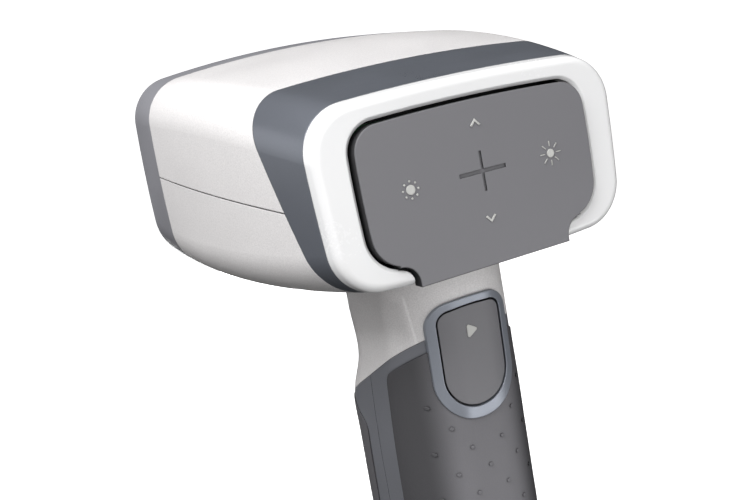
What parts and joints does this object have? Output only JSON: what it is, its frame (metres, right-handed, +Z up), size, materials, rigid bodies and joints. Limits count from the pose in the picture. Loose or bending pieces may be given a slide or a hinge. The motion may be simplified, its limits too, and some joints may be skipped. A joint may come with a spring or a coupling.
{
  "type": "handheld scanner",
  "caption": "Handheld structured-light scanner head on a pistol-type handle, with a four-way rear rocker panel and a thumb button.",
  "frame": {"origin": "mouth of the cable socket, in the middle of the handle's lower end face", "axes": "+Z up along the handle, +Y the direction the scanner looks, +X the user's right"},
  "size_m": [0.1082, 0.1101, 0.2373],
  "materials": {
    "white_shell": "satin pearl with a fine grain",
    "gloss_white": "gloss",
    "bezel_plastic": "satin",
    "blue_grey_satin": "metallic satin",
    "surround_satin": "metallic satin, paler",
    "panel_grey": "soft-touch matte",
    "icon_print": "matt ink",
    "grip_plastic": "satin",
    "grip_rubber": "matte",
    "dark_glass": "polished, dark tinted",
    "lens_glass": "coated",
    "black_plastic": "moulded matte",
    "black_metal": "black anodised",
    "cast_aluminium": "machined casting",
    "metal_satin": "satin nickel",
    "steel": "blackened",
    "brass": "gold-plated",
    "circuit_board": "solder resist",
    "led_board": "white resist with lamps",
    "silicone": "matte",
    "cable_black": "sleeved"
  },
  "bodies": {
    "housing": {"front_bezel": "bezel_plastic", "front_window": "dark_glass", "upper_shell": "white_shell", "lower_shell": "white_shell", "shell_screws": "steel", "rear_collar": "blue_grey_satin", "rear_frame": "gloss_white", "keypad_tray": "black_plastic", "keypad_board": "circuit_board", "tact_switches": "black_plastic", "button_surround": "surround_satin", "button_board": "circuit_board", "button_switch": "silicone", "grip_rear": "grip_plastic", "grip_front": "grip_plastic", "rear_grip_pad": "grip_rubber", "front_grip_strip": "grip_rubber", "handle_end_cap": "grip_plastic", "cable_socket": "metal_satin", "socket_contacts": "brass", "optical_bench": "cast_aluminium", "projector_housing": "black_plastic", "projector_barrel": "black_metal", "projector_lens": "lens_glass", "light_source": "circuit_board", "heat_sink": "cast_aluminium", "camera_left": "black_metal", "camera_right": "black_metal", "camera_barrel_left": "black_metal", "camera_barrel_right": "black_metal", "camera_lens_left": "lens_glass", "camera_lens_right": "lens_glass", "light_ring_left": "led_board", "light_ring_right": "led_board", "colour_camera": "black_metal", "colour_camera_lens": "lens_glass", "infrared_emitter": "black_metal", "infrared_window": "dark_glass", "main_board": "circuit_board", "interface_board": "circuit_board", "head_harness": "cable_black"},
    "gimbal": {"rocker_gimbal": "black_plastic"},
    "rocker": {"rocker_panel": "panel_grey", "panel_icons": "icon_print"},
    "button": {"thumb_button": "panel_grey", "play_icon": "icon_print"}
  },
  "joints": [
    {"name": "rocker_tilt_up_down", "type": "hinge", "parent": "housing", "child": "gimbal", "pos_m": [0, -0.044, 0.1972], "axis": [1, 0, 0], "range_deg": [-1.2, 1.2], "stiffness_Nm_per_rad": 1.5},
    {"name": "rocker_tilt_left_right", "type": "hinge", "parent": "gimbal", "child": "rocker", "pos_m": [0, -0.044, 0.1972], "axis": [0, 0, 1], "range_deg": [-1.2, 1.2], "stiffness_Nm_per_rad": 1.5},
    {"name": "thumb_press", "type": "slide", "parent": "housing", "child": "button", "axis": [0, 0.9976, 0.0698], "range_m": [0, 0.001], "stiffness_N_per_m": 1200, "springref_m": -0.0006}
  ]
}
